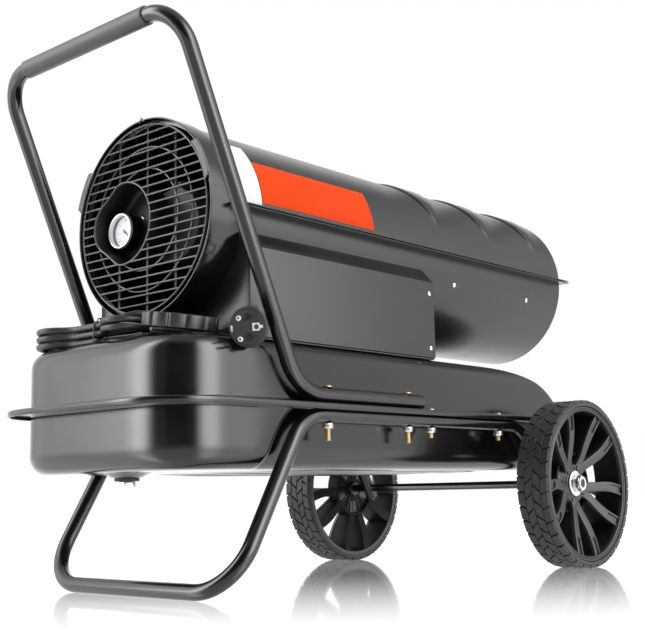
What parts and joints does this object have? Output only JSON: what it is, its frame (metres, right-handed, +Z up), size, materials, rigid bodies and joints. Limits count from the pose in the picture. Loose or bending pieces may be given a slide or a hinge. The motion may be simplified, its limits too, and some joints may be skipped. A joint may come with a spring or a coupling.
{
  "type": "diesel forced air heater",
  "caption": "Horizontal diesel forced air heater on a two-wheeled tube carriage, with a flanged steel tank, a round blower shell, a control console and a tied mains lead.",
  "frame": {"origin": "middle of the bounding box in plan, on the floor", "axes": "+X towards the air outlet, +Y to the side with the controls, +Z up"},
  "size_m": [0.744, 0.4124, 0.551],
  "materials": {
    "black_coat": "gloss black powder coat",
    "tank_coat": "gloss black powder coat on the tank",
    "satin_coat": "satin black coat",
    "wire_coat": "satin black coated wire",
    "black_plastic": "moulded black plastic with a fine grain",
    "red_plastic": "translucent red plastic",
    "foam_rubber": "soft black foam rubber",
    "tyre_rubber": "black tyre rubber with block tread",
    "seal_rubber": "black nitrile rubber",
    "cord_rubber": "smooth black cable sheath",
    "zinc": "bright zinc plate",
    "bare_steel": "plain sheet steel, a little heat tinted at the burner",
    "motor_case": "dark enamelled motor case",
    "pump_metal": "die-cast aluminium",
    "fan_metal": "pressed aluminium",
    "lens_glass": "clear flat lens",
    "gauge_metal": "chromed bezel round a white dial",
    "board_resin": "green laminate"
  },
  "bodies": {
    "heater": {"tank_upper": "tank_coat", "tank_lower": "satin_coat", "filler_neck": "tank_coat", "fuel_strainer": "black_plastic", "drain_plug": "zinc", "drain_washer": "seal_rubber", "fuel_pickup": "bare_steel", "handle": "black_coat", "handle_grip": "foam_rubber", "frame": "black_coat", "axle": "black_coat", "axle_washer_near": "zinc", "axle_washer_far": "zinc", "axle_nut_near": "zinc", "axle_nut_far": "zinc", "handle_bolt_front_near": "zinc", "handle_bolt_front_far": "zinc", "handle_bolt_rear_near": "zinc", "handle_bolt_rear_far": "zinc", "frame_bolt_front_near": "zinc", "frame_bolt_front_far": "zinc", "frame_bolt_rear_near": "zinc", "frame_bolt_rear_far": "zinc", "shell_upper": "black_coat", "shell_lower": "black_coat", "intake_collar": "black_coat", "fan_guard": "wire_coat", "gauge_recess": "wire_coat", "gauge_case": "gauge_metal", "gauge_lens": "lens_glass", "motor": "motor_case", "air_pump": "pump_metal", "motor_bracket": "black_coat", "burner_head": "bare_steel", "nozzle": "bare_steel", "combustion_chamber": "bare_steel", "outlet_cone": "bare_steel", "console_box": "black_coat", "side_cover_near": "black_coat", "side_cover_far": "black_coat", "power_lamp": "red_plastic", "circuit_board": "board_resin", "cord_gland": "cord_rubber", "cord_lead": "cord_rubber", "cord_hank": "cord_rubber", "cord_plug_lead": "cord_rubber", "cord_plug": "cord_rubber", "cord_tie": "black_plastic", "fuel_line": "bare_steel"},
    "wheel_near": {"wheel_near": "black_plastic", "tyre_near": "tyre_rubber"},
    "wheel_far": {"wheel_far": "black_plastic", "tyre_far": "tyre_rubber"},
    "blower_rotor": {"fan": "fan_metal", "motor_shaft": "bare_steel"},
    "seal": {"cap_seal": "seal_rubber"},
    "cap": {"fuel_cap": "black_plastic"},
    "rocker": {"rocker_switch": "red_plastic"},
    "knob": {"thermostat_knob": "black_plastic"},
    "needle": {"gauge_needle": "black_plastic"}
  },
  "joints": [
    {"name": "wheel_near_spin", "type": "hinge", "parent": "heater", "child": "wheel_near", "pos_m": [0.2385, -0.1846, 0.1], "axis": [0, 1, 0], "continuous": true},
    {"name": "wheel_far_spin", "type": "hinge", "parent": "heater", "child": "wheel_far", "pos_m": [0.2385, 0.1846, 0.1], "axis": [0, 1, 0], "continuous": true},
    {"name": "fan_spin", "type": "hinge", "parent": "heater", "child": "blower_rotor", "pos_m": [-0.093, 0, 0.3754], "axis": [1, 0, 0], "continuous": true},
    {"name": "cap_lift", "type": "slide", "parent": "heater", "child": "seal", "axis": [0, -0.1564, 0.9877], "range_m": [0, 0.009]},
    {"name": "cap_turn", "type": "hinge", "parent": "seal", "child": "cap", "pos_m": [-0.301, -0.0786, 0.258], "axis": [0, -0.1564, 0.9877], "continuous": true},
    {"name": "rocker_press", "type": "hinge", "parent": "heater", "child": "rocker", "pos_m": [-0.194, 0.1155, 0.292], "axis": [0, 0, 1], "range_deg": [0, 8.9]},
    {"name": "thermostat_turn", "type": "hinge", "parent": "heater", "child": "knob", "pos_m": [-0.148, 0.117, 0.292], "axis": [0, 1, 0], "range_deg": [0, 270]},
    {"name": "needle_turn", "type": "hinge", "parent": "heater", "child": "needle", "pos_m": [-0.265, 0.052, 0.3735], "axis": [1, 0, 0], "range_deg": [0, 270]}
  ]
}
